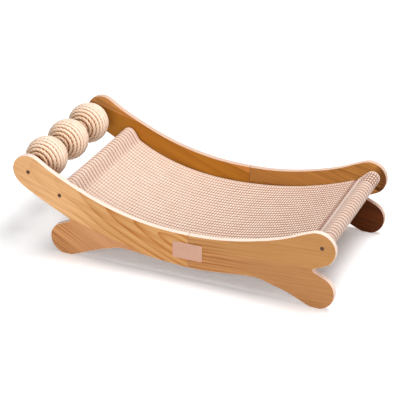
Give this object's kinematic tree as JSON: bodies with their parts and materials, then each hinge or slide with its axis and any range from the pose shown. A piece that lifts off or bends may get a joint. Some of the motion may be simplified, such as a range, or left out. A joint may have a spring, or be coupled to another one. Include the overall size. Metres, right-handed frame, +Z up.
{
  "type": "cat scratcher bed",
  "caption": "Low wooden cat lounger: bone-shaped side boards carry a sagging woven sisal mat between round rails, with rope-wound balls that spin on an axle at the head end.",
  "frame": {"origin": "on the floor, under the middle of the overall length and width", "axes": "+X from the ball end, the head, to the foot end; +Y from the near board, which has the patch, to the far board; +Z up"},
  "size_m": [0.7299, 0.3593, 0.2239],
  "materials": {
    "wood": "golden board with straight grain, satin lacquer, pale edges",
    "rail_wood": "plain sanded round rod",
    "sisal_mat": "coarse cream and brown woven sisal",
    "sisal_rope": "twisted natural sisal rope",
    "ball_core": "moulded shell",
    "patch": "bare matt patch",
    "screw_steel": "black oxide",
    "axle_steel": "drawn steel rod",
    "brass": "turned",
    "spacer_nylon": "moulded sleeve"
  },
  "bodies": {
    "frame": {"near_board_head_half": "wood", "near_board_foot_half": "wood", "far_board_head_half": "wood", "far_board_foot_half": "wood", "near_lower_dowel": "rail_wood", "near_upper_dowel": "rail_wood", "far_lower_dowel": "rail_wood", "far_upper_dowel": "rail_wood", "seam_patch": "patch", "head_rail": "rail_wood", "head_rail_near_insert": "brass", "head_rail_far_insert": "brass", "foot_rail": "rail_wood", "foot_rail_near_insert": "brass", "foot_rail_far_insert": "brass", "ball_axle": "axle_steel", "near_axle_screw": "screw_steel", "near_head_rail_screw": "screw_steel", "near_foot_rail_screw": "screw_steel", "far_axle_screw": "screw_steel", "far_head_rail_screw": "screw_steel", "far_foot_rail_screw": "screw_steel", "sisal_mat": "sisal_mat", "near_end_spacer": "spacer_nylon", "near_middle_spacer": "spacer_nylon", "far_middle_spacer": "spacer_nylon", "far_end_spacer": "spacer_nylon"},
    "near_ball": {"ball_near_core": "ball_core", "ball_near_rope": "sisal_rope"},
    "middle_ball": {"ball_middle_core": "ball_core", "ball_middle_rope": "sisal_rope"},
    "far_ball": {"ball_far_core": "ball_core", "ball_far_rope": "sisal_rope"}
  },
  "joints": [
    {"name": "near_ball_spin", "type": "hinge", "parent": "frame", "child": "near_ball", "pos_m": [-0.3191, -0.0977, 0.1782], "axis": [0, 1, 0], "continuous": true},
    {"name": "middle_ball_spin", "type": "hinge", "parent": "frame", "child": "middle_ball", "pos_m": [-0.3191, 0, 0.1782], "axis": [0, 1, 0], "continuous": true},
    {"name": "far_ball_spin", "type": "hinge", "parent": "frame", "child": "far_ball", "pos_m": [-0.3191, 0.0977, 0.1782], "axis": [0, 1, 0], "continuous": true}
  ]
}
